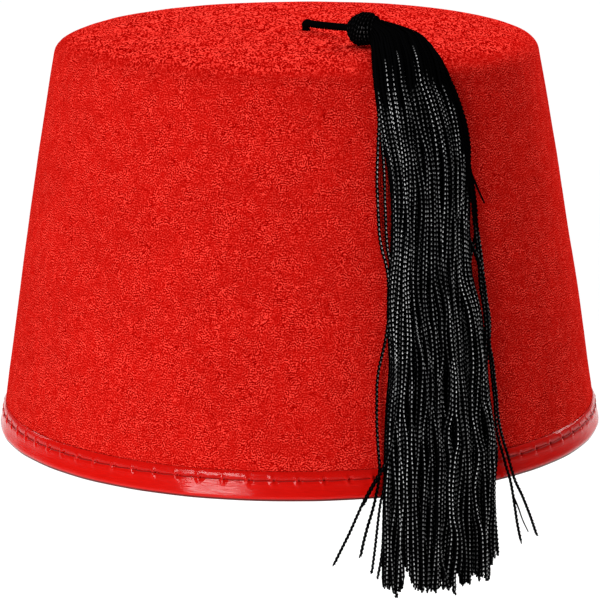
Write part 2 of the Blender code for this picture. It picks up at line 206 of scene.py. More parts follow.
# Softboxes round the hat: azimuth from -Y towards +X and elevation in degrees,
# distance, width and height in metres, power in watts.
SOFTBOXES = table(
    "name azimuth elevation distance width height power",
    ("key_softbox", -31, 10, 1.15, 0.42, 0.40, 11.2),
    ("right_softbox", 132, 28, 1.2, 0.6, 0.6, 13.0),
    ("left_softbox", -128, 28, 1.3, 0.6, 0.6, 5.0),
)


class FezCrown(bpy.types.PropertyGroup):
    """Sizes and finish of the felt crown."""

    top_radius: FloatProperty(
        name="Top radius", description="Where the side's line would meet the top's plane",
        default=0.0742, unit="LENGTH")
    rim_radius: FloatProperty(
        name="Rim radius", description="Radius of the felt's own line at the rim, under the ribbon",
        default=RIBBON_FACE - 0.0007, unit="LENGTH")
    shoulder_reach: FloatProperty(
        name="Shoulder reach", description="How far the shoulder's curve runs in over the top",
        default=0.022, unit="LENGTH")
    shoulder_drop: FloatProperty(
        name="Shoulder drop", description="How far the shoulder's curve runs down the side",
        default=0.006, unit="LENGTH")
    side_bulge: FloatProperty(
        name="Side bulge", description="The most that the side stands out of its straight line",
        default=0.0007, unit="LENGTH")
    wall: FloatProperty(
        name="Felt wall", description="Thickness of the felt", default=0.002, unit="LENGTH")
    waves: FloatProperty(
        name="Waves", description="Height of the felt's slow unevenness", default=0.0005, unit="LENGTH")
    turn_steps: IntProperty(
        name="Turn steps", description="Faces round the crown", default=256)
    colour: FloatVectorProperty(
        name="Felt colour", description="Colour of the felt's nap", subtype="COLOR",
        default=(0.48, 0.0050, 0.0030))
    pale: FloatVectorProperty(
        name="Nap tips", description="Colour of the fibres' lit tips", subtype="COLOR",
        default=(0.92, 0.0520, 0.0360))
    dark: FloatVectorProperty(
        name="Nap pits", description="Colour between the fibres", subtype="COLOR",
        default=(0.25, 0.0002, 0.0001))
    grain: FloatProperty(
        name="Grain", description="Pitch of the felt's short strokes", default=0.00058,
        unit="LENGTH")


class FezRibbon(bpy.types.PropertyGroup):
    """Sizes and finish of the satin ribbon and its stitching."""

    proud: FloatProperty(
        name="Proud", description="How far the ribbon's face stands out of the felt's line",
        default=0.0007, unit="LENGTH")
    thickness: FloatProperty(
        name="Thickness", description="Thickness of the folded ribbon", default=0.0004, unit="LENGTH")
    stitch_drop: FloatProperty(
        name="Stitch drop", description="The stitch line's distance from the ribbon's upper edge",
        default=0.0026, unit="LENGTH")
    stitch_count: IntProperty(
        name="Stitches", description="Stitches round the rim", default=80)
    steps_per_stitch: IntProperty(
        name="Steps per stitch", description="Faces along each stitch", default=18)
    pucker: FloatProperty(
        name="Pucker", description="Depth of the pucker at each needle hole", default=0.0006, unit="LENGTH")
    thread: FloatProperty(
        name="Thread", description="Diameter of the sewing thread", default=0.00032, unit="LENGTH")
    colour: FloatVectorProperty(
        name="Satin colour", description="Colour of the ribbon", subtype="COLOR",
        default=(0.56, 0.0040, 0.0020))
    thread_colour: FloatVectorProperty(
        name="Thread colour", description="Colour of the sewing thread", subtype="COLOR",
        default=(0.30, 0.003, 0.002))


class FezTassel(bpy.types.PropertyGroup):
    """Sizes and finish of the cord, the knot and the tassel's strands."""

    clearance: FloatProperty(
        name="Clearance", description="Room between the tassel and the hat", default=0.0003, unit="LENGTH")
    hole_x: FloatProperty(
        name="Hole X", description="Place of the cord's hole in the top", default=0.003, unit="LENGTH")
    hole_y: FloatProperty(
        name="Hole Y", description="Place of the cord's hole in the top", default=0.0006, unit="LENGTH")
    cord: FloatProperty(
        name="Cord", description="Diameter of the cord from the hole to the knot",
        default=0.0024, unit="LENGTH")
    cord_rise: FloatProperty(
        name="Cord rise", description="Height of the cord's axis over the top at the hole",
        default=0.0017, unit="LENGTH")
    knot: FloatProperty(
        name="Knot", description="Diameter of the wound knot", default=0.0099, unit="LENGTH")
    knot_length: FloatProperty(
        name="Knot length", description="Length of the wound knot", default=0.0098, unit="LENGTH")
    knot_turn: FloatProperty(
        name="Knot turn", description="Way of the knot's axis from +X, about +Z",
        default=-0.418, subtype="ANGLE")
    neck: FloatProperty(
        name="Neck", description="Diameter of the knot's blunt end", default=0.0076, unit="LENGTH")
    winding: FloatProperty(
        name="Winding", description="Diameter of the thread wound round the knot",
        default=0.0011, unit="LENGTH")
    left: FloatProperty(
        name="Skirt left", description="X of the skirt's left edge as it hangs",
        default=0.0232, unit="LENGTH")
    width: FloatProperty(
        name="Skirt width", description="Width of the skirt", default=0.0345, unit="LENGTH")
    depth: FloatProperty(
        name="Skirt depth", description="Depth of the skirt off the hat", default=0.005, unit="LENGTH")
    run: FloatProperty(
        name="Skirt run", description="From the knot to the last full section, along the hat",
        default=0.172, unit="LENGTH")
    tips: FloatProperty(
        name="Tips", description="The longest tip below the last full section",
        default=0.0168, unit="LENGTH")
    strand: FloatProperty(
        name="Strand", description="Diameter of a twisted strand", default=0.00122, unit="LENGTH")
    bead: FloatProperty(
        name="Bead", description="Distance from one ply to the next along a strand",
        default=0.00133, unit="LENGTH")
    columns: IntProperty(
        name="Columns", description="Strands side by side in the skirt", default=25)
    colour: FloatVectorProperty(
        name="Yarn colour", description="Colour of the black yarn", subtype="COLOR",
        default=(0.0008, 0.0008, 0.0009))
    # The colour of the painted highlight laid on top of each ply
    lit: FloatVectorProperty(
        name="Lit plies", description="Colour of the yarn's sheen on top of each ply", subtype="COLOR",
        default=(0.95, 0.95, 0.95))


class FezStage(bpy.types.PropertyGroup):
    """The studio: camera, floor and light."""

    camera_x: FloatProperty(
        name="Camera X", description="Place of the camera", default=0.0, unit="LENGTH")
    camera_y: FloatProperty(
        name="Camera Y", description="Place of the camera", default=-1.06534, unit="LENGTH")
    camera_z: FloatProperty(
        name="Camera Z", description="Place of the camera", default=0.28731, unit="LENGTH")
    pitch: FloatProperty(
        name="Pitch", description="How far the camera looks down", default=math.radians(13.143),
        subtype="ANGLE")
    yaw: FloatProperty(
        name="Yaw", description="How far the camera looks towards +X", default=math.radians(0.0236),
        subtype="ANGLE")
    roll: FloatProperty(
        name="Roll", description="Turn of the camera about its own view", default=math.radians(-0.467),
        subtype="ANGLE")
    lens: FloatProperty(name="Lens", description="Focal length in millimetres", default=207.48)
    sensor: FloatProperty(name="Sensor", description="Width of the sensor in millimetres", default=36.0)
    floor_drop: FloatProperty(
        name="Floor drop", description="The floor's distance below the rim", default=0.45, unit="LENGTH")
    floor_size: FloatProperty(
        name="Floor size", description="Width of the floor", default=24.0, unit="LENGTH")
    room_light: FloatProperty(
        name="Room light", description="Strength of the even light from all sides", default=0.10)
    ceiling_power: FloatProperty(
        name="Ceiling power", description="Power of the large softbox overhead, in watts", default=685.0)


# Materials, written as sums of values that vary over a surface


class Value:
    """One output of a material's nodes, which takes part in sums as a number does."""

    def __init__(self, paint, socket):
        self.paint = paint
        self.socket = socket

    def maths(self, operation, *terms):
        return self.paint.node("ShaderNodeMath", {"operation": operation}, dict(enumerate(terms)))

    def __add__(self, other):
        return self.maths("ADD", self, other)

    def __radd__(self, other):
        return self.maths("ADD", other, self)

    def __sub__(self, other):
        return self.maths("SUBTRACT", self, other)

    def __rsub__(self, other):
        return self.maths("SUBTRACT", other, self)

    def __mul__(self, other):
        return self.maths("MULTIPLY", self, other)

    def __rmul__(self, other):
        return self.maths("MULTIPLY", other, self)

    def __abs__(self):
        return self.maths("ABSOLUTE", self)

    def step(self, low, high):
        """0 up to low and 1 from high on, with a smooth rise between them."""
        settings = {"interpolation_type": "SMOOTHSTEP"}
        return self.paint.node("ShaderNodeMapRange", settings, {0: self, 1: low, 2: high})


class Paint:
    """The nodes of one material, round its one shader."""

    def __init__(self, name, **constants):
        self.material = bpy.data.materials.new(name)
        self.material.use_nodes = True
        self.tree = self.material.node_tree
        self.shader = self.tree.nodes["Principled BSDF"]
        for socket, value in constants.items():
            self.feed(self.shader.inputs[socket.replace("_", " ")], value)

    def feed(self, socket, value):
        """Links a value to a socket, or sets the socket to a number or colour."""
        if isinstance(value, Value):
            self.tree.links.new(value.socket, socket)
        elif socket.type == "RGBA":
            socket.default_value = (*tuple(value)[:3], 1.0)
        else:
            socket.default_value = value

    def node(self, kind, settings=None, inputs=None, output=0):
        made = self.tree.nodes.new(kind)
        for name, value in (settings or {}).items():
            setattr(made, name, value)
        for key, value in (inputs or {}).items():
            self.feed(made.inputs[key], value)
        return Value(self, made.outputs[output])

    def place(self):
        """Places on the piece in metres."""
        return self.node("ShaderNodeTexCoord", output="Object")

    def axes(self, place):
        """The three numbers of a place."""
        first = self.node("ShaderNodeSeparateXYZ", inputs={0: place})
        split = first.socket.node
        return [Value(self, split.outputs[index]) for index in range(3)]

    def vector(self, x, y, z):
        return self.node("ShaderNodeCombineXYZ", inputs={0: x, 1: y, 2: z})

    def attribute(self, name):
        """The three numbers of a mesh's own attribute."""
        return self.axes(self.node("ShaderNodeAttribute", {"attribute_name": name}, output="Vector"))

    def noise(self, place, grain, detail=2.0, roughness=0.5):
        """Noise from 0 to 1 with grains of that size in metres."""
        inputs = {"Vector": place, "Scale": 1 / grain, "Detail": detail, "Roughness": roughness}
        return self.node("ShaderNodeTexNoise", inputs=inputs)

    def waves(self, place, length):
        """Short strokes from 0 to 1 with that pitch in metres, turned every way."""
        inputs = {"Vector": place, "Scale": 0.5 / length, "Frequency": 2.0, "Anisotropy": 0.0}
        return self.node("ShaderNodeTexGabor", {"gabor_type": "3D"}, inputs)

    def mix(self, share, first, second, blend="MIX"):
        """A colour between two others, or the second laid over the first by a blend."""
        settings = {"data_type": "RGBA", "blend_type": blend}
        return self.node("ShaderNodeMix", settings, {0: share, 6: first, 7: second}, output=2)

    def colour(self, value):
        self.feed(self.shader.inputs["Base Color"], value)

    def roughness(self, value):
        self.feed(self.shader.inputs["Roughness"], value)

    def bump(self, height, distance):
        """Raises the surface by height times distance."""
        inputs = {"Height": height, "Distance": distance, "Strength": 1.0}
        self.feed(self.shader.inputs["Normal"], self.node("ShaderNodeBump", inputs=inputs))


def times(colour, share):
    """A colour with each of its parts times the share."""
    return tuple(share * part for part in colour)


def felt_finish(crown):
    """Short-pile wool felt: short strokes, crisp in some patches and soft in others, finer
    fibres and a slow mottling. On the top the nap is brushed out along Y."""
    grain = crown.grain
    side_stretch, top_stretch = 0.85, 0.32
    softest, fibre_share = 0.55, 0.20
    paint = Paint("red_felt", Roughness=1.0, Specular_IOR_Level=0.0)
    place = paint.place()
    x, y, z = paint.axes(place)
    strokes = paint.waves(paint.vector(x, y, z * side_stretch), grain)
    brushed = paint.noise(paint.vector(x, y * top_stretch, z), grain * 0.9, detail=0.0)
    fibres = paint.noise(place, grain * 0.35, detail=0.0)
    patches = paint.noise(place, grain * 7, detail=1.0)
    mottling = paint.noise(place, grain * 26, detail=3.0, roughness=0.6)
    top = z.step(CROWN_TOP - 0.004, CROWN_TOP - 0.0005)
    side = strokes.step(0.30, 0.70)
    lines = side + (brushed.step(0.36, 0.64) - side) * top
    crisp = patches.step(0.35, 0.65) * (1 - softest) + softest
    nap = ((lines - 0.5) * crisp + 0.5) * (1 - fibre_share) + fibres * fibre_share
    low = paint.mix(nap.step(0.08, 0.55), crown.dark, crown.colour)
    lit = paint.mix(nap.step(0.50, 0.92), low, crown.pale)
    shade = paint.mix(mottling.step(0.35, 0.70), (0.92, 0.92, 0.92), (1.0, 1.0, 1.0))
    paint.colour(paint.mix(1.0, lit, shade, blend="MULTIPLY"))
    paint.bump(nap, grain * 0.12)
    return paint.material


def satin_finish(ribbon):
    """Satin ribbon: fine threads along it, a soft gloss, and painted shade on the fold at its foot, which is
    rougher too.
    """
    thread_pitch, wear_pitch, relief = 0.00025, 0.0035, 0.00006
    stitch_line, blur = RIBBON_TOP - ribbon.stitch_drop, 0.0004
    paint = Paint("red_satin", Specular_IOR_Level=0.15)
    x, y, z = paint.axes(paint.place())
    along = y.maths("ARCTAN2", y, x) * RIBBON_FACE
    threads = paint.noise(paint.vector(along * 0.05, z, 0.0), thread_pitch, detail=1.0)
    wear = paint.noise(paint.vector(along * 0.4, z, 0.0), wear_pitch, detail=3.0)
    # Painted shade: the fold at the ribbon's foot is darkened in colour, and made rougher
    fold = 1.0 - z.step(0.0004, 0.0012)
    above = z.step(stitch_line - blur, stitch_line + blur)
    base = paint.mix(threads.step(0.3, 0.7), times(ribbon.colour, 0.88), ribbon.colour)
    base = paint.mix(above * 0.5, base, times(ribbon.colour, 0.78))
    paint.colour(paint.mix(fold * 0.95, base, times(ribbon.colour, 0.08)))
    paint.roughness(0.10 + wear * 0.10 + fold * 0.4)
    paint.bump(threads + wear * 0.9, relief)
    return paint.material


def thread_finish(ribbon):
    """Sewing thread, a little darker than the ribbon."""
    paint = Paint("red_thread", Roughness=0.6, Specular_IOR_Level=0.1)
    twist = paint.noise(paint.place(), ribbon.thread * 0.8, detail=1.0)
    paint.colour(paint.mix(twist, times(ribbon.thread_colour, 0.6), ribbon.thread_colour))
    paint.bump(twist, ribbon.thread * 0.2)
    return paint.material


def yarn_finish(tassel):
    """Black rayon yarn: matt, with a painted highlight where each ply lies on top of its strand: a pale spot
    in its colour, which also gives a little coat.
    """
    paint = Paint("black_yarn", Roughness=0.8, Specular_IOR_Level=0.0, Coat_IOR=1.45,
                  Coat_Roughness=0.30)
    place = paint.place()
    fibres = paint.noise(place, tassel.strand * 0.25, detail=1.0)
    drift = paint.noise(place, tassel.strand * 4, detail=2.0, roughness=0.7).step(0.34, 0.64)
    across, facing, run = paint.attribute("ply_place")
    tone, lustre = paint.attribute("strand_look")[:2]
    # Painted highlight: a pale spot laid into the colour where each ply's top faces away from the hat,
    # towards the light; the same spot sets a little coat
    along = run.maths("FRACT", run) - 0.5
    slant = abs(across - along * 0.5)
    painted_highlight_and_gloss = (1.0 - abs(along).step(0.15, 0.29)) * (1.0 - slant.step(0.12, 0.42)) * facing.step(0.0, 0.3)
    painted_highlight_and_gloss = painted_highlight_and_gloss * lustre * (0.20 + tone * tone * 0.80) * (0.35 + drift * 0.65)
    dark = paint.mix(tone * 0.6 + fibres * 0.4, tassel.colour, times(tassel.colour, 2.0))
    paint.colour(paint.mix(painted_highlight_and_gloss, dark, tassel.lit))
    paint.feed(paint.shader.inputs["Coat Weight"], painted_highlight_and_gloss * 0.6)
    paint.bump(fibres, tassel.strand * 0.04)
    return paint.material


# The hat's outer line, which the crown is made from and the tassel lies on


def side_radius(crown, height):
    """Radius of the felt's outer face at a height on the side."""
    share = height / CROWN_TOP
    straight = crown.rim_radius + (crown.top_radius - crown.rim_radius) * share
    return straight + crown.side_bulge * 4 * share * (1 - share)


def outer_line(crown, shoulder_steps, side_steps):
    """(radius, height) rows from the top's flat middle down to the rim."""
    low = CROWN_TOP - crown.shoulder_drop
    start = np.array((crown.top_radius - crown.shoulder_reach, CROWN_TOP))
    corner = np.array((crown.top_radius, CROWN_TOP))
    end = np.array((side_radius(crown, low), low))
    rows = []
    for step in range(shoulder_steps + 1):
        share = step / shoulder_steps
        rows.append(start * (1 - share) ** 2 + corner * 2 * share * (1 - share) + end * share**2)
    for step in range(1, side_steps + 1):
        height = low * (1 - step / side_steps)
        rows.append(np.array((side_radius(crown, height), height)))
    return np.array(rows)


def distances(path):
    """How far along a path each of its points lies."""
    return np.concatenate([[0.0], np.cumsum(np.linalg.norm(np.diff(path, axis=0), axis=1))])


def between(at, run, path):
    """The columns of a path at distances along it, where run is how far its rows lie."""
    return [np.interp(at, run, values) for values in path.T]


def unit(ways):
    """The same ways, each at length one."""
    return ways / np.linalg.norm(ways, axis=1)[:, None]


def smooth(knots, values, at):
    """Values on a smooth curve through (knot, value) points."""
    slopes = np.gradient(values, knots)
    index = np.clip(np.searchsorted(knots, at) - 1, 0, len(knots) - 2)
    span = knots[index + 1] - knots[index]
    share = (at - knots[index]) / span
    square, cube = share**2, share**3
    return (
        values[index] * (2 * cube - 3 * square + 1)
        + slopes[index] * span * (cube - 2 * square + share)
        + values[index + 1] * (3 * square - 2 * cube)
        + slopes[index + 1] * span * (cube - square)
    )


class HatLine:
    """Places on the hat by distance from the top's middle; past the rim it hangs down."""

    BELOW = 0.08
    STEPS = 40

    def __init__(self, crown, ribbon, clearance):
        line = np.vstack([(0.0, CROWN_TOP), outer_line(crown, self.STEPS, self.STEPS)])
        run = unit(np.gradient(line, axis=0))
        normal = np.column_stack([-run[:, 1], run[:, 0]])
        normal[:2] = (0.0, 1.0)
        foot = line[-1]
        self.line = np.vstack([line, foot - (0.0, RIBBON_TOP), foot - (0.0, self.BELOW)])
        self.normal = np.vstack([normal, (1.0, 0.0), (1.0, 0.0)])
        self.out = distances(self.line)
        self.clearance = clearance
        self.proud = ribbon.proud

    def points(self, out, x, height):
        """Places at those distances out, at those X, raised off the hat by height."""
        radius, level = between(out, self.out, self.line)
        outward, upward = between(out, self.out, self.normal)
        size = np.hypot(outward, upward)
        share = np.clip((CROWN_TOP - level) / (CROWN_TOP - RIBBON_TOP), 0.0, 1.0)
        raised = self.clearance + self.proud * share + height
        reach = radius + outward / size * raised
        turn = np.arcsin(np.clip(x / reach, -1.0, 1.0))
        rise = level + upward / size * raised
        return np.column_stack([reach * np.sin(turn), -reach * np.cos(turn), rise])

    def outward(self, out, x):
        """The way off the hat there."""
        radius, _ = between(out, self.out, self.line)
        flat, up = between(out, self.out, self.normal)
        turn = np.arcsin(np.clip(x / radius, -1.0, 1.0))
        return unit(np.column_stack([flat * np.sin(turn), -flat * np.cos(turn), up]))


# Modelling helpers


def begin(add, name, **settings):
    """Adds a primitive with nothing else selected, and opens it in edit mode."""
    bpy.ops.object.select_all(action="DESELECT")
    add(**settings)
    made = bpy.context.object
    made.name = made.data.name = name
    bpy.ops.object.mode_set(mode="EDIT")
    bpy.ops.mesh.select_all(action="SELECT")
    return made


def draw_out(rings):
    """Extrudes the selected ring through (radius, height) rows about +Z."""
    for (radius, height), (next_radius, next_height) in zip(rings, rings[1:]):
        bpy.ops.mesh.extrude_region_move(
            TRANSFORM_OT_translate={"value": (0.0, 0.0, next_height - height)})
        scale = next_radius / radius
        bpy.ops.transform.resize(value=(scale, scale, 1.0), center_override=(0.0, 0.0, 0.0))


def close_shell():
    """Turns the open piece's faces outwards, leaves edit mode and applies its place."""
    bpy.ops.mesh.select_all(action="SELECT")
    bpy.ops.mesh.normals_make_consistent(inside=False)
    bpy.ops.object.mode_set(mode="OBJECT")
    bpy.ops.object.transform_apply(location=True, rotation=True, scale=True)


def select_only(piece):
    bpy.ops.object.select_all(action="DESELECT")
    piece.select_set(True)
    bpy.context.view_layer.objects.active = piece


def apply_modifier(piece, kind, name, **settings):
    """Adds a modifier and applies it."""
    select_only(piece)
    modifier = piece.modifiers.new(name, kind)
    for key, value in settings.items():
        setattr(modifier, key, value)
    bpy.ops.object.modifier_apply(modifier=name)


def dress(piece, finish, slot, *nodes):
    """Gives a piece its finish, hides the packed nodes that it stands in for, and attaches it to the body
    that it rides on.
    """
    select_only(piece)
    bpy.ops.object.transform_apply(location=True, rotation=True, scale=True)
    piece.data.materials.clear()
    piece.data.materials.append(finish)
    if nodes:
        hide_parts(*nodes)
    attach(piece, BODY)


def coordinates(piece):
    """The places of a mesh's points, as rows."""
    values = np.empty(len(piece.data.vertices) * 3)
    piece.data.vertices.foreach_get("co", values)
    return values.reshape(-1, 3)


def move_points(piece, places):
    piece.data.vertices.foreach_set("co", places.ravel())
    piece.data.update()


class CordMaker:
    """Gathers twisted cords into one mesh of four-sided faces. Each point keeps its
    place on its strand, across, off the hat and along in plies, and its strand's look:
    its tone and how much painted highlight its plies get."""

    def __init__(self):
        self.places = []
        self.faces = []
        self.looks = []
        self.ply_places = []
        self.grooves = []
        self.count = 0

    def add(self, path, outward, radius, lobes=3, groove=0.34, lay=None, phase=0.0, tone=0.5,
            lustre=0.0):
        """Adds a cord along a path. lobes plies wind round it with a groove between each
        two, and lay is the distance from one ply to the next; radius and lustre, the share of
        painted highlight on its plies from 0 for none to 1, may vary along it."""
        run = distances(path)
        forward = unit(np.gradient(path, axis=0))
        side = unit(np.cross(forward, outward))
        up = np.cross(side, forward)
        sides = lobes * 2
        turn = phase + (run / lay * math.tau / lobes if lay else 0.0 * run)
        angles = turn[:, None] + np.arange(sides)[None, :] * math.tau / sides
        crest = 1.0 - np.arange(sides) % 2
        reach = np.broadcast_to(radius, run.shape)[:, None] * (1.0 - groove * (1.0 - crest))[None, :]
        ring = side[:, None, :] * (np.cos(angles) * reach)[..., None]
        ring += up[:, None, :] * (np.sin(angles) * reach)[..., None]
        places = path[:, None, :] + ring
        rows = np.arange(len(path) - 1)[:, None] * sides
        here = np.arange(sides)[None, :]
        after = (here + 1) % sides
        walls = np.stack([rows + here, rows + sides + here, rows + sides + after, rows + after], axis=-1)
        last = (len(path) - 1) * sides
        caps = []
        for first in range(1, sides - 2, 2):
            caps.append((0, first, first + 1, first + 2))
            caps.append((last, last + first + 2, last + first + 1, last + first))
        faces = np.vstack([walls.reshape(-1, 4), np.array(caps)])
        self.places.append(places.reshape(-1, 3))
        self.faces.append(faces + self.count)
        plies = np.broadcast_to((turn / math.tau - 0.25)[:, None] * lobes + 0.5, angles.shape)
        self.ply_places.append(np.stack([np.cos(angles), np.sin(angles), plies], axis=-1).reshape(-1, 3))
        shine = np.broadcast_to(np.broadcast_to(lustre, run.shape)[:, None], angles.shape)
        look = np.stack([np.full(angles.shape, tone), shine, np.zeros(angles.shape)], axis=-1)
        self.looks.append(look.reshape(-1, 3))
        self.grooves.append(np.tile(crest < 0.5 if groove else crest > 2, len(path)))
        self.count += len(path) * sides

    def piece(self, name):
        """The gathered cords as one mesh object, smooth over each ply and sharp between."""
        faces = np.vstack(self.faces).astype(np.int32)
        grooves = np.concatenate(self.grooves)
        mesh = bpy.data.meshes.new(name)
        mesh.vertices.add(self.count)
        mesh.vertices.foreach_set("co", np.vstack(self.places).ravel())
        mesh.loops.add(faces.size)
        mesh.loops.foreach_set("vertex_index", faces.ravel())
        mesh.polygons.add(len(faces))
        mesh.polygons.foreach_set("loop_start", np.arange(0, faces.size, 4, dtype=np.int32))
        mesh.update(calc_edges=True)
        mesh.validate()
        mesh.shade_smooth()
        ends = np.empty(len(mesh.edges) * 2, dtype=np.int32)
        mesh.edges.foreach_get("vertices", ends)
        between_plies = grooves[ends].reshape(-1, 2).all(axis=1)
        sharp = mesh.attributes.new("sharp_edge", "BOOLEAN", "EDGE")
        sharp.data.foreach_set("value", between_plies)
        for attribute, rows in (("strand_look", self.looks), ("ply_place", self.ply_places)):
            made = mesh.attributes.new(attribute, "FLOAT_VECTOR", "POINT")
            made.data.foreach_set("vector", np.vstack(rows).astype(np.float32).ravel())
        made = bpy.data.objects.new(name, mesh)
        bpy.context.scene.collection.objects.link(made)
        return made


def even_steps(path, step):
    """The same path with points an even step apart."""
    run = distances(path)
    at = np.linspace(0.0, run[-1], max(int(run[-1] / step), 2) + 1)
    return np.column_stack(between(at, run, path))


def through(points, step):
    """A smooth path through chosen points, with points an even step apart."""
    knots = distances(points)
    at = np.linspace(0.0, knots[-1], int(knots[-1] / step) * 2)
    return even_steps(np.column_stack([smooth(knots, values, at) for values in points.T]), step)


def knot_axis(tassel):
    """The way from the cord's side of the knot to the strands' side."""
    return np.array((math.cos(tassel.knot_turn), math.sin(tassel.knot_turn), 0.0))


# Felt crown and ribbon


class FEZ_OT_crown(bpy.types.Operator):
    """Makes the moulded felt crown"""

    bl_idname = "fez.crown"
    bl_label = "Felt Crown"

    SHOULDER_STEPS = 14
    SIDE_STEPS = 40
    TOP_RINGS = (0.86, 0.70, 0.54, 0.40, 0.27, 0.16, 0.07)
    # The felt's edge inside the ribbon's fold, and how much of the ribbon's thickness it
    # is pressed in by
    FOOT = 0.0011
    PRESSED = 0.8
    WAVE_LENGTH = 0.028
    SHARP_ANGLE = math.radians(50)
    HOLE_SIDES = 24
    HOLE_ROOM = 0.0004
    DIMPLE = 0.0006
    DIMPLE_REACH = 0.0032

    def execute(self, context):
        crown = context.scene.fez_crown
        tassel = context.scene.fez_tassel
        pressed = context.scene.fez_ribbon.thickness * self.PRESSED
        line = outer_line(crown, self.SHOULDER_STEPS, self.SIDE_STEPS)
        rings = [(side_radius(crown, height) - pressed, height) for height in (self.FOOT, RIBBON_TOP)]
        rings += [(radius, height) for radius, height in line[::-1] if height > RIBBON_TOP]
        inner = rings[-1][0]
        rings += [(inner * share, CROWN_TOP) for share in self.TOP_RINGS]
        piece = begin(
            bpy.ops.mesh.primitive_circle_add, "felt_crown", vertices=crown.turn_steps,
            radius=rings[0][0], location=(0.0, 0.0, rings[0][1]))
        draw_out(rings)
        bpy.ops.mesh.extrude_region_move()
        bpy.ops.mesh.merge(type="CENTER")
        close_shell()
        clouds = bpy.data.textures.new("felt_waves", "CLOUDS")
        clouds.noise_scale = self.WAVE_LENGTH
        apply_modifier(piece, "DISPLACE", "waves", texture=clouds, strength=crown.waves,
                       mid_level=0.5, texture_coords="LOCAL")
        apply_modifier(piece, "SOLIDIFY", "wall", thickness=crown.wall, offset=-1.0)
        self.cut_hole(piece, crown, tassel)
        piece.data.shade_smooth()
        piece.data.set_sharp_from_angle(angle=self.SHARP_ANGLE)
        dress(piece, felt_finish(crown), "felt", "crown")
        return {"FINISHED"}

    def cut_hole(self, piece, crown, tassel):
        """Cuts the cord's hole and dents the felt round it."""
        cutter = begin(
            bpy.ops.mesh.primitive_cylinder_add, "cord_hole", vertices=self.HOLE_SIDES,
            radius=tassel.cord / 2 + self.HOLE_ROOM, depth=crown.wall * 6,
            location=(tassel.hole_x, tassel.hole_y, CROWN_TOP))
        bpy.ops.object.mode_set(mode="OBJECT")
        apply_modifier(piece, "BOOLEAN", "hole", object=cutter, operation="DIFFERENCE")
        bpy.data.objects.remove(cutter)
        places = coordinates(piece)
        away = np.hypot(places[:, 0] - tassel.hole_x, places[:, 1] - tassel.hole_y)
        near_top = places[:, 2] > CROWN_TOP - crown.shoulder_drop
        places[:, 2] -= near_top * self.DIMPLE * np.exp(-((away / self.DIMPLE_REACH) ** 2))
        move_points(piece, places)


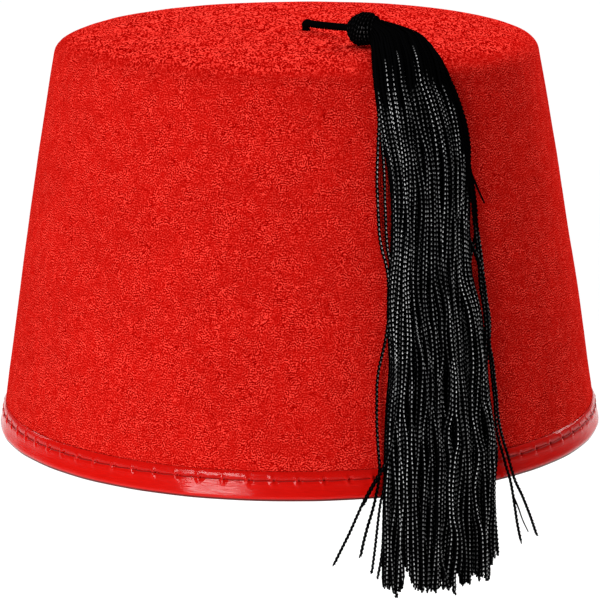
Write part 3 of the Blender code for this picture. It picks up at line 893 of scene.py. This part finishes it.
class FEZ_OT_ribbon(bpy.types.Operator):
    """Makes the satin ribbon folded over the rim, puckered along its stitches"""

    bl_idname = "fez.ribbon"
    bl_label = "Rim Ribbon"

    FACE_STEPS = 20
    FOLD = 0.0007
    # How far inside the felt's inner face the fold ends and the inner leg lies
    TUCK = 0.0005
    LEG = 0.0009
    LEG_STEPS = 4
    SHARP_ANGLE = math.radians(60)
    GROOVE = 0.00025
    GROOVE_WIDTH = 0.00050
    PUCKER_WIDTH = 0.00060
    PUCKER_HEIGHT = 0.0012
    LIP = 0.75
    RIPPLE = 0.00010
    # A stitch's sides, cuts along it, share of the pitch, dip into the needle holes and
    # slant
    STITCH_SIDES = 8
    STITCH_CUTS = 7
    STITCH_SHARE = 0.94
    STITCH_DIP = 0.00055
    STITCH_SLANT = 0.00008

    def face_rings(self, crown, ribbon):
        """(radius, height) rows from the ribbon's upper edge down its outer face, under
        the fold and up the inner face."""
        rows = []
        for share in np.linspace(0.0, 1.0, self.FACE_STEPS + 1):
            height = RIBBON_TOP - (RIBBON_TOP - self.FOLD) * share
            proud = ribbon.proud * smooth(column(RIBBON_FORM, "down"), column(RIBBON_FORM, "proud"), share)
            rows.append((side_radius(crown, height) + proud, height))
        outer = rows[-1][0]
        inner = side_radius(crown, 0.0) - crown.wall - self.TUCK
        for angle in (30, 60, 90):
            turn = math.radians(angle)
            rows.append((outer - self.FOLD * (1 - math.cos(turn)), self.FOLD * (1 - math.sin(turn))))
        for angle in (90, 45, 0):
            turn = math.radians(angle)
            rows.append((inner - self.FOLD * (math.cos(turn) - 0.6), self.FOLD * (1 - math.sin(turn))))
        for height in np.linspace(self.FOLD, RIBBON_TOP, self.LEG_STEPS)[1:]:
            rows.append((side_radius(crown, height) - crown.wall - self.LEG, height))
        return rows

    def execute(self, context):
        crown = context.scene.fez_crown
        ribbon = context.scene.fez_ribbon
        rings = self.face_rings(crown, ribbon)
        steps = ribbon.stitch_count * ribbon.steps_per_stitch
        piece = begin(
            bpy.ops.mesh.primitive_circle_add, "satin_ribbon", vertices=steps,
            radius=rings[0][0], location=(0.0, 0.0, rings[0][1]))
        draw_out(rings)
        close_shell()
        self.pucker(piece, crown, ribbon)
        apply_modifier(piece, "SOLIDIFY", "thickness", thickness=ribbon.thickness, offset=-1.0)
        piece.data.shade_smooth()
        piece.data.set_sharp_from_angle(angle=self.SHARP_ANGLE)
        dress(piece, satin_finish(ribbon), "satin_ribbon", "rim_binding")
        self.sew(crown, ribbon)
        return {"FINISHED"}

    def pucker(self, piece, crown, ribbon):
        """Presses the stitch line in, deepest at each needle hole, with a lip beside it."""
        places = coordinates(piece)
        radius = np.hypot(places[:, 0], places[:, 1])
        outer = radius > side_radius(crown, places[:, 2])
        line = RIBBON_TOP - ribbon.stitch_drop
        off_line = places[:, 2] - line
        pitch = math.tau / ribbon.stitch_count
        turn = np.arctan2(places[:, 1], places[:, 0])
        off_hole = ((turn / pitch + 0.5) % 1.0 - 0.5) * pitch * radius
        groove = self.GROOVE * np.exp(-((off_line / self.GROOVE_WIDTH) ** 2))
        hole = ribbon.pucker * np.exp(
            -((off_line / self.GROOVE_WIDTH / 1.3) ** 2) - ((off_hole / self.PUCKER_WIDTH) ** 2))
        lean = off_hole + self.PUCKER_WIDTH * 1.5 + off_line * 0.25
        lip = self.LIP * ribbon.pucker * np.exp(
            -((off_line / self.PUCKER_HEIGHT) ** 2) - ((lean / self.PUCKER_WIDTH) ** 2))
        ripple = self.RIPPLE * np.sin(turn * 23 + 1.3) * np.sin(turn * 9 + places[:, 2] * 300)
        shift = outer * (lip - groove - hole + ripple)
        places[:, :2] *= ((radius + shift) / radius)[:, None]
        move_points(piece, places)

    def sew(self, crown, ribbon):
        """Models one stitch, copies it round the rim and joins the copies."""
        pitch = math.tau / ribbon.stitch_count
        line = RIBBON_TOP - ribbon.stitch_drop
        reach = side_radius(crown, line) + ribbon.proud - self.GROOVE * 0.4
        length = reach * pitch
        first = begin(
            bpy.ops.mesh.primitive_cylinder_add, "rim_stitches", vertices=self.STITCH_SIDES,
            radius=ribbon.thread / 2, depth=length * self.STITCH_SHARE, end_fill_type="TRIFAN",
            rotation=(math.pi / 2, 0.0, 0.0), location=(reach, 0.0, line))
        bpy.ops.mesh.select_mode(type="EDGE")
        bpy.ops.mesh.select_all(action="DESELECT")
        shape = bmesh.from_edit_mesh(first.data)
        for edge in shape.edges:
            ends = [corner.co.z for corner in edge.verts]
            edge.select_set(abs(ends[0] - ends[1]) > length / 2)
        bmesh.update_edit_mesh(first.data)
        bpy.ops.mesh.subdivide(number_cuts=self.STITCH_CUTS)
        bpy.ops.mesh.select_mode(type="VERT")
        bpy.ops.object.mode_set(mode="OBJECT")
        bpy.ops.object.transform_apply(location=True, rotation=True, scale=True)
        places = coordinates(first)
        share = places[:, 1] / (length / 2)
        places[:, 0] -= self.STITCH_DIP * np.abs(share) ** 6 + places[:, 1] ** 2 / (2 * reach)
        places[:, 2] += self.STITCH_SLANT * np.sin(share * math.pi)
        move_points(first, places)
        first.data.transform(Matrix.Rotation(pitch / 2, 4, "Z"))
        select_only(first)
        for step in range(1, ribbon.stitch_count):
            copy = first.copy()
            copy.data = first.data.copy()
            copy.data.transform(Matrix.Rotation(pitch * step, 4, "Z"))
            bpy.context.scene.collection.objects.link(copy)
            copy.select_set(True)
        bpy.ops.object.join()
        first.data.shade_smooth()
        dress(first, thread_finish(ribbon), "satin_ribbon")


# Tassel


class FEZ_OT_cord(bpy.types.Operator):
    """Makes the twisted cord from its coil inside the crown to the knot"""

    bl_idname = "fez.cord"
    bl_label = "Tassel Cord"

    COIL_TURNS = 2.2
    COIL_STEPS = 26
    COIL_RISE = 0.0016
    STOP_LENGTH = 0.004
    LAY = 0.0016
    STEP = 0.00035
    # The cord is squeezed in the coil, and swells where it bends out of the hole
    SQUEEZED = 0.80
    SWELL = 0.16
    SWELL_REACH = 0.0022

    def execute(self, context):
        crown = context.scene.fez_crown
        tassel = context.scene.fez_tassel
        hole = np.array((tassel.hole_x, tassel.hole_y, 0.0))
        knot = np.array(KNOT_CENTRE)
        inside = CROWN_TOP - crown.wall
        thick = tassel.cord / 2
        bend = hole + (0.0, 0.0, CROWN_TOP + tassel.cord_rise)
        way = knot - bend
        way /= np.linalg.norm(way)
        points = []
        low = inside - self.STOP_LENGTH + thick * 0.6
        for step in range(self.COIL_STEPS):
            share = step / (self.COIL_STEPS - 1)
            turn = math.tau * self.COIL_TURNS * share
            reach = thick * 1.15 * min(1.0, (1 - share) * 8)
            points.append(
                hole + (reach * math.cos(turn), reach * math.sin(turn), low + share * self.COIL_RISE))
        end = knot - way * tassel.knot * 0.42
        points += [
            hole + (0.0, 0.0, inside + 0.0004),
            hole + (0.0, 0.0, CROWN_TOP - 0.0002),
            bend + (-0.0001, 0.0, -0.0007),
            bend + way * tassel.cord * 0.42 + (0.0, 0.0, 0.00005),
            bend + way * tassel.cord,
            bend * 0.5 + end * 0.5 + (0.0, 0.0, -0.00015),
            end,
        ]
        path = through(np.array(points), self.STEP)
        height = path[:, 2] - CROWN_TOP
        from_hole = np.linalg.norm(path - bend, axis=1)
        radius = thick * np.where(height < -crown.wall, self.SQUEEZED, 1.0)
        radius = radius * (1.0 + self.SWELL * np.exp(-((from_hole / self.SWELL_REACH) ** 2)))
        outward = np.tile((0.25, 1.0, 0.35), (len(path), 1))
        maker = CordMaker()
        # A faint painted highlight on the cord's plies
        maker.add(path, outward, radius, lobes=4, groove=0.16, lay=self.LAY, lustre=0.05)
        dress(maker.piece("twisted_cord"), yarn_finish(tassel), "tassel_yarn", "tassel_cord")
        return {"FINISHED"}


class FEZ_OT_knot(bpy.types.Operator):
    """Makes the wound knot at the tassel's head"""

    bl_idname = "fez.knot"
    bl_label = "Tassel Knot"

    CORE_STEPS = 24
    TURN_STEPS = 30
    STEP = 0.0003
    # The knot's painted highlight at its middle, beyond it, and how far out it reaches
    GLINT = 0.45
    DULL = 0.02
    GLINT_REACH = 0.0014
    # The thread's windings: their turns, their tilt and where they start and end as shares
    # of the knot's half length, how deep they sink in threads, and their first turn's phase
    WINDINGS = table(
        "turns tilt sink phase start end",
        (9.0, 0.0, 1.0, 0.0, -0.90, 0.96),
        (3.5, 0.34, 0.35, 1.1, -0.42, 0.30),
    )

    def girth(self, tassel, along):
        """The knot's outer radius along its axis, from -1 to 1."""
        radius, blunt = tassel.knot / 2, tassel.neck / 2
        round_end = np.sqrt(np.maximum(1 - along**2, 0.0)) * radius
        blunt_end = radius - (radius - blunt) * along**3
        return np.where(along < 0, round_end, blunt_end)

    def execute(self, context):
        tassel = context.scene.fez_tassel
        knot = np.array(KNOT_CENTRE)
        half = tassel.knot_length / 2
        axis = knot_axis(tassel)
        up = np.array((0.0, 0.0, 1.0))
        side = np.cross(up, axis)
        thread = tassel.winding / 2
        maker = CordMaker()
        for row in self.WINDINGS:
            share = np.linspace(0.0, 1.0, int(row["turns"] * self.TURN_STEPS))
            turn = math.tau * row["turns"] * share + row["phase"]
            along = row["start"] + (row["end"] - row["start"]) * share + row["tilt"] * np.sin(turn)
            reach = self.girth(tassel, np.clip(along, -0.97, 1.0)) - thread * row["sink"]
            way = np.cos(turn)[:, None] * side + np.sin(turn)[:, None] * up
            path = through(knot + along[:, None] * half * axis + reach[:, None] * way, self.STEP)
            from_axis = path - knot
            from_axis -= (from_axis @ axis)[:, None] * axis
            # Painted highlight on the windings, strongest round the knot's middle
            away = np.hypot(path[:, 0] - KNOT_CENTRE.x, path[:, 2] - KNOT_CENTRE.z)
            glint = self.DULL + self.GLINT * np.exp(-((away / self.GLINT_REACH) ** 2))
            maker.add(path, from_axis, thread, lay=thread * 2.4, groove=0.24, lustre=glint)
        along = np.linspace(-0.985, 1.0, self.CORE_STEPS)
        core = knot + along[:, None] * half * axis
        reach = np.maximum(self.girth(tassel, along) - thread * 1.3, 0.0004)
        maker.add(core, np.tile(up, (len(core), 1)), reach, lobes=8, groove=0.0)
        dress(maker.piece("wound_knot"), yarn_finish(tassel), "tassel_yarn", "tassel_knot")
        return {"FINISHED"}


class Skirt:
    """The skirt's sections as smooth curves down it, and the strands' places in them."""

    EDGE = 0.24
    # The strands' girth at the knot, and the section from which it is full
    NECK_GIRTH = 0.62
    FULL_FROM = 4
    # The stretch over which the painted highlight comes up, as a share of the run
    DAWN = 0.02

    def __init__(self, crown, ribbon, tassel):
        self.tassel = tassel
        self.line = HatLine(crown, ribbon, tassel.clearance)
        self.knot_out = math.hypot(KNOT_CENTRE.x, KNOT_CENTRE.y)
        rows = [self.neck_row()] + [self.row(row) for row in SKIRT_ROWS]
        self.columns = {key: column(rows, key) for key in rows[0]}
        self.knots = (self.columns["out_left"] + self.columns["out_right"]) / 2
        self.last = self.knots[-1]

    def row(self, row):
        tassel = self.tassel
        return {
            "out_left": self.knot_out + tassel.run * row["along_left"],
            "out_right": self.knot_out + tassel.run * row["along_right"],
            "x_left": tassel.left + tassel.width * row["x_left"],
            "x_right": tassel.left + tassel.width * row["x_right"],
            "depth": tassel.depth * row["depth"],
            "lift": 0.0,
        }

    def neck_row(self):
        """The section that meets the knot's blunt end."""
        tassel = self.tassel
        axis = knot_axis(tassel)
        centre = np.array(KNOT_CENTRE) + axis * (tassel.knot_length / 2 - 0.001)
        across = np.array((-axis[1], axis[0], 0.0))
        left, right = (centre + across * tassel.neck / 2 * sign for sign in (-1, 1))
        return {
            "out_left": math.hypot(left[0], left[1]),
            "out_right": math.hypot(right[0], right[1]),
            "x_left": left[0],
            "x_right": right[0],
            "depth": tassel.neck * 0.95,
            "lift": (tassel.knot - tassel.neck) / 2,
        }

    def at(self, key, down):
        """A column of the sections' table at distances down the skirt."""
        values = smooth(self.knots, self.columns[key], np.minimum(down, self.last))
        if key.startswith("out"):
            values = values + np.maximum(down - self.last, 0.0)
        return values

    def lay(self, down, across, level):
        """Distance out, X and height of a strand's points: across runs from 0 at the left
        edge to 1 at the right, and level from 0 on the hat to 1 on top."""
        out_left, out_right = self.at("out_left", down), self.at("out_right", down)
        x_left, x_right = self.at("x_left", down), self.at("x_right", down)
        edge = np.sqrt(np.maximum(1 - np.abs(2 * across - 1) ** 3, 0.0))
        crest = self.at("depth", down) * (self.EDGE + (1 - self.EDGE) * edge)
        out = out_left + (out_right - out_left) * across
        x = x_left + (x_right - x_left) * across
        return out, x, crest * level + self.at("lift", down)

    def girth(self, down):
        """A strand's thickness as a share of its full one: squeezed at the neck."""
        first, full = self.knots[0], self.knots[self.FULL_FROM]
        return self.NECK_GIRTH + (1 - self.NECK_GIRTH) * np.clip((down - first) / (full - first), 0.0, 1.0)

    def lustre(self, down, x, delay):
        """How much painted highlight a strand gets: none over its first stretch from the
        knot, where the strands lie over the top with their plies turned away from the light, a
        stretch that runs further down at the skirt's shaded right edge. delay moves the end of
        this unlit start, as a share of the run."""
        run = (down - self.knot_out) / self.tassel.run
        side = (x - self.at("x_left", down)) / (self.at("x_right", down) - self.at("x_left", down))
        start = np.interp(side, column(UNLIT_START_ROWS, "across"), column(UNLIT_START_ROWS, "dull"))
        return np.clip((run - start - delay) / self.DAWN, 0.0, 1.0)


class FEZ_OT_strands(bpy.types.Operator):
    """Makes the tassel's twisted strands in layers over the hat"""

    bl_idname = "fez.strands"
    bl_label = "Tassel Strands"

    SEED = 11
    STEP = 0.0007
    # Where the rim lies down the run, past which the loose strands get hardly any painted highlight
    RIM_AT = 0.86
    # How far above its own first point a loose strand leaves the skirt, as a share of the
    # run, and the length of its faces in beads and the depth between its plies
    LEAVES = 0.06
    LOOSE_STEP = 0.25
    LOOSE_GROOVE = 0.34
    # Where down the run the strands hang quite free, and how many gather in a bunch
    FREE_FROM = 0.30
    GATHERED = 3.1
    # What differs from strand to strand: its level, its ply's length in beads, where its
    # painted highlight starts, and how many start early and by how much of the run
    LEVEL_SPREAD = 0.035
    LAY_RANGE = (0.94, 1.07)
    START_SPREAD = 0.014
    EARLY_SHARE = 0.08
    EARLY = 0.05
    # A strand thins over its last stretch, and frays into plies of these lengths that bend
    # apart and thin out
    TAPER = 0.0015
    PLIES = 3
    FRAY_LENGTHS = (0.0003, 0.0010)
    FRAY_SPREAD = 0.14
    FRAY_GIRTHS = (1.0, 0.95, 0.9, 0.75)
    # level is a layer's height in the skirt, inset how far its edges lie inside the
    # skirt's, step the length of its faces in beads, loose its strands' wandering, count
    # their number, groove the depth between their plies, and lustre how much painted
    # highlight their plies get, less in the lower layers, which lie in shade
    LAYERS = table(
        "name level inset step loose count groove lustre",
        ("strands_back", 0.14, 0.000, 0.56, 0.00, 36, 0.14, 0.25),
        ("strands_inner", 0.38, 0.004, 0.42, 0.25, 28, 0.22, 0.4),
        ("strands_middle", 0.64, 0.012, 0.27, 0.42, 25, 0.34, 0.7),
        ("strands_front", 0.88, 0.030, 0.26, 0.40, 24, 0.34, 1.0),
    )
    # A strand's own wandering: waves down the run, and their sizes in strand widths
    OWN_WAVES = ((1.3, 0.55), (2.9, 0.30), (6.1, 0.16))

    def execute(self, context):
        scene = context.scene
        tassel = scene.fez_tassel
        self.skirt = Skirt(scene.fez_crown, scene.fez_ribbon, tassel)
        self.tassel = tassel
        self.random = np.random.default_rng(self.SEED)
        finish = yarn_finish(tassel)
        for layer in self.LAYERS:
            maker = CordMaker()
            for across in np.linspace(0.0, 1.0, layer["count"]):
                self.strand(maker, layer, across)
            nodes = ["tassel_skirt"] if layer is self.LAYERS[-1] else []
            dress(maker.piece(layer["name"]), finish, "tassel_yarn", *nodes)
        self.loose_strands(finish)
        return {"FINISHED"}

    def tip_length(self, across):
        """Length of a strand's tip below the last section."""
        share = np.interp(across, column(TIP_ROWS, "across"), column(TIP_ROWS, "tip"))
        return self.tassel.tips * (share - abs(self.random.normal(0.0, 0.07)))

    def wander(self, across, down, level, spread):
        """Sideways wandering in strand widths: a slow sway that neighbours share, a
        gathering into twos and threes, and a little of the strand's own."""
        run = (down - self.skirt.knots[0]) / self.tassel.run
        free = np.clip(run / self.FREE_FROM, 0.0, 1.0)
        sway = 0.55 * np.sin(math.tau * (1.3 * across + 1.1 * run + level))
        sway += 0.35 * np.sin(math.tau * (2.9 * across - 1.9 * run + 2 * level))
        drift = 0.9 * np.sin(math.tau * (1.2 * run + 0.7 * across + level))
        gather = 0.26 * np.sin(math.tau * (self.tassel.columns / self.GATHERED * across + drift))
        own = np.zeros_like(down)
        for waves, size in self.OWN_WAVES:
            own += size * np.sin(math.tau * (waves * run + self.random.random()))
        edge = np.clip(np.minimum(across, 1 - across) / 0.10, 0.0, 1.0)
        return (sway * edge + gather + own * spread) * free

    def part(self, across, down):
        """How far the upper strands are pushed aside by the partings, in strand widths."""
        run = (down - self.skirt.knot_out) / self.tassel.run
        shift = np.zeros_like(down)
        for row in PARTINGS:
            middle, half = (row["from"] + row["to"]) / 2, (row["to"] - row["from"]) / 2
            along = np.exp(-(((run - middle) / half) ** 4))
            away = (across - row["across"]) * self.tassel.columns
            shift += row["strands"] / 2 * along * np.sign(away) * np.exp(-((away / 3.0) ** 2))
        return shift

    def strand(self, maker, layer, across):
        """One strand of the skirt from inside the knot to its frayed tip."""
        tassel, skirt = self.tassel, self.skirt
        inset = layer["inset"]
        down = np.arange(skirt.knots[0], skirt.last + tassel.tips, self.STEP)
        place = inset + (1 - 2 * inset) * across
        shift = np.zeros_like(down)
        if layer["loose"]:
            shift = shift + self.wander(across, down, layer["level"], layer["loose"])
        if layer["level"] > 0.5:
            shift = shift + self.part(across, down)
        place = np.clip(place + shift / tassel.columns, 0.0, 1.0)
        lift = self.random.normal(0.0, self.LEVEL_SPREAD)
        level = layer["level"] + lift + 0.05 * np.sin(self.random.random() * 6 + (down - down[0]) * 60)
        out, x, height = skirt.lay(down, place, np.clip(level, 0.12, 1.02))
        end = np.searchsorted(down, skirt.last + self.tip_length(place[-1]))
        self.add_strand(maker, out[:end], x[:end], height[:end], down[:end],
                        tassel.bead * layer["step"], 1.0, layer["groove"], layer["lustre"])

    def add_strand(self, maker, out, x, height, down, step, girth, groove, shine):
        """Lays a strand on the hat, twists it and frays its end."""
        tassel, skirt = self.tassel, self.skirt
        full = tassel.strand / 2 * girth
        height = np.maximum(height, full * 1.04)
        path = skirt.line.points(out, x, height)
        run = distances(path)
        at = np.linspace(0.0, run[-1], int(run[-1] / step) + 1)
        path = np.column_stack(between(at, run, path))
        out, x, down = between(at, run, np.column_stack([out, x, down]))
        near_end = np.clip((at[-1] - at) / self.TAPER, 0.0, 1.0)
        radius = full * skirt.girth(down) * (0.80 + 0.20 * near_end)
        lay = tassel.bead * self.random.uniform(*self.LAY_RANGE)
        tone = self.random.random()
        phase = self.random.uniform(0.0, math.tau)
        early = self.EARLY * (self.random.random() < self.EARLY_SHARE)
        shine = np.interp(at, run, np.broadcast_to(shine, run.shape))
        lustre = shine * skirt.lustre(down, x, self.random.normal(0.0, self.START_SPREAD) - early)
        maker.add(path, skirt.line.outward(out, x), radius, groove=groove, lay=lay, phase=phase,
                  tone=tone, lustre=lustre)
        self.fray(maker, path, full, tone)

    def fray(self, maker, path, full, tone):
        """The strand's plies coming apart below its end."""
        way = path[-1] - path[-8]
        way /= np.linalg.norm(way)
        for _ in range(self.PLIES):
            length = self.random.uniform(*self.FRAY_LENGTHS)
            spread = self.random.normal(0.0, self.FRAY_SPREAD, 3)
            share = np.linspace(0.0, 1.0, len(self.FRAY_GIRTHS))[:, None]
            start = path[-2] + self.random.normal(0.0, full * 0.30, 3)
            curve = start + way * share * length + spread * share**2 * length
            outward = np.tile((0.3, -1.0, 0.2), (len(curve), 1))
            maker.add(curve, outward, full * 0.52 * np.array(self.FRAY_GIRTHS),
                      lobes=2, groove=0.0, tone=tone)

    def loose_strands(self, finish):
        """The strands that hang beside the skirt, and single plies that stick out."""
        tassel, skirt = self.tassel, self.skirt
        maker = CordMaker()
        for row in LOOSE_STRANDS:
            first = skirt.knot_out + tassel.run * (row["points"][0][0] - self.LEAVES)
            down = np.arange(skirt.knots[0], max(first, skirt.knots[0] + 0.004), 0.006)
            out, x, height = skirt.lay(down, np.full(len(down), row["across"]), np.full(len(down), 0.6))
            points = np.array(row["points"])
            lift = np.full(len(points), tassel.strand * row["lift"])
            knots = np.concatenate([out, skirt.knot_out + tassel.run * points[:, 0]])
            at = np.arange(knots[0], knots[-1], self.STEP)
            x_at = smooth(knots, np.concatenate([x, tassel.left + tassel.width * points[:, 1]]), at)
            height_at = smooth(knots, np.concatenate([height, lift]), at)
            # Painted highlight on a loose strand: strong above the rim, faint below it
            shine = np.where((at - skirt.knot_out) / tassel.run < self.RIM_AT, 0.8, 0.08)
            self.add_strand(maker, at, x_at, height_at, at, tassel.bead * self.LOOSE_STEP, row["girth"],
                            self.LOOSE_GROOVE, shine)
        for row in LOOSE_PLIES:
            points = np.array(row["points"])
            knots = skirt.knot_out + tassel.run * points[:, 0]
            at = np.linspace(knots[0], knots[-1], 16)
            x_at = smooth(knots, tassel.left + tassel.width * points[:, 1], at)
            path = skirt.line.points(at, x_at, np.full(len(at), tassel.strand * row["lift"]))
            thin = tassel.strand / 2 * row["girth"] * np.linspace(1.0, 0.6, len(at))
            maker.add(path, skirt.line.outward(at, x_at), thin, lobes=2, groove=0.0)
        dress(maker.piece("loose_strands"), finish, "tassel_yarn")


# Stage


class FEZ_OT_stage(bpy.types.Operator):
    """Makes the camera, the pale floor and the soft light"""

    bl_idname = "fez.stage"
    bl_label = "Studio"

    LOOK_AT = Vector((0.0, 0.0, 0.06))
    CEILING_SIZE = (10.0, 9.0)
    CEILING_PLACE = (0.0, 4.0, 6.0)

    def execute(self, context):
        stage = context.scene.fez_stage
        self.camera(context.scene, stage)
        self.floor(stage)
        for box in SOFTBOXES:
            self.softbox(**box)
        # The largest softbox hangs high over the hat and the floor behind it
        self.area_light("ceiling_softbox", self.CEILING_SIZE, stage.ceiling_power, self.CEILING_PLACE)
        self.room(context.scene, stage)
        context.scene.view_settings.view_transform = "Standard"
        return {"FINISHED"}

    def camera(self, scene, stage):
        """Looks from the front, a little down, with a small roll."""
        forward = Vector((
            math.sin(stage.yaw) * math.cos(stage.pitch),
            math.cos(stage.yaw) * math.cos(stage.pitch),
            -math.sin(stage.pitch),
        ))
        level = forward.cross(Vector((0.0, 0.0, 1.0))).normalized()
        rise = level.cross(forward)
        right = level * math.cos(stage.roll) + rise * math.sin(stage.roll)
        up = rise * math.cos(stage.roll) - level * math.sin(stage.roll)
        data = bpy.data.cameras.new("camera")
        data.lens = stage.lens
        data.sensor_width = stage.sensor
        made = bpy.data.objects.new("camera", data)
        turn = Matrix((right, up, -forward)).transposed()
        place = Matrix.Translation((stage.camera_x, stage.camera_y, stage.camera_z))
        made.matrix_world = place @ turn.to_4x4()
        scene.collection.objects.link(made)
        scene.camera = made

    def floor(self, stage):
        begin(bpy.ops.mesh.primitive_plane_add, "floor", size=stage.floor_size,
              location=(0.0, 0.0, -stage.floor_drop))
        bpy.ops.object.mode_set(mode="OBJECT")
        made = bpy.context.object
        paint = Paint("pale_floor", Roughness=0.9, Specular_IOR_Level=0.1)
        cloudy = paint.noise(paint.place(), 0.4, detail=2.0)
        paint.colour(paint.mix(cloudy, (0.96, 0.96, 0.96), (0.98, 0.98, 0.98)))
        made.data.materials.append(paint.material)

    def softbox(self, name, azimuth, elevation, distance, width, height, power):
        """A softbox on a stand, turned towards the hat."""
        turn, rise = math.radians(azimuth), math.radians(elevation)
        way = Vector((
            math.sin(turn) * math.cos(rise), -math.cos(turn) * math.cos(rise), math.sin(rise)))
        made = self.area_light(name, (width, height), power, self.LOOK_AT + way * distance)
        made.rotation_euler = way.to_track_quat("Z", "Y").to_euler()

    def area_light(self, name, size, power, place):
        """A rectangular light that shines down."""
        data = bpy.data.lights.new(name, "AREA")
        data.shape = "RECTANGLE"
        data.size, data.size_y = size
        data.energy = power
        made = bpy.data.objects.new(name, data)
        made.location = place
        bpy.context.scene.collection.objects.link(made)
        return made

    def room(self, scene, stage):
        world = bpy.data.worlds.new("room")
        world.use_nodes = True
        backdrop = world.node_tree.nodes["Background"]
        backdrop.inputs["Color"].default_value = (1.0, 1.0, 1.0, 1.0)
        backdrop.inputs["Strength"].default_value = stage.room_light
        scene.world = world


class FEZ_PT_panel(bpy.types.Panel):
    """The fez's pieces and their settings"""

    bl_idname = "FEZ_PT_panel"
    bl_label = "Fez"
    bl_space_type = "VIEW_3D"
    bl_region_type = "UI"
    bl_category = "Fez"

    def draw(self, context):
        for name, group, operators in PARTS:
            box = self.layout.box()
            box.label(text=group.__doc__.split(".")[0])
            settings = getattr(context.scene, name)
            for prop in group.__annotations__:
                box.prop(settings, prop)
            for operator in operators:
                box.operator(operator.bl_idname)


# The scene's setting groups, their classes and the operators that read them
PARTS = (
    ("fez_stage", FezStage, (FEZ_OT_stage,)),
    ("fez_crown", FezCrown, (FEZ_OT_crown,)),
    ("fez_ribbon", FezRibbon, (FEZ_OT_ribbon,)),
    ("fez_tassel", FezTassel, (FEZ_OT_cord, FEZ_OT_knot, FEZ_OT_strands)),
)


def register():
    for name, group, operators in PARTS:
        bpy.utils.register_class(group)
        setattr(bpy.types.Scene, name, PointerProperty(type=group))
        for operator in operators:
            bpy.utils.register_class(operator)
    bpy.utils.register_class(FEZ_PT_panel)


def unregister():
    bpy.utils.unregister_class(FEZ_PT_panel)
    for name, group, operators in reversed(PARTS):
        for operator in reversed(operators):
            bpy.utils.unregister_class(operator)
        delattr(bpy.types.Scene, name)
        bpy.utils.unregister_class(group)


def main():
    register()
    bpy.ops.fez.stage()
    bpy.ops.fez.crown()
    bpy.ops.fez.ribbon()
    bpy.ops.fez.cord()
    bpy.ops.fez.knot()
    bpy.ops.fez.strands()


if __name__ == "__main__":
    main()
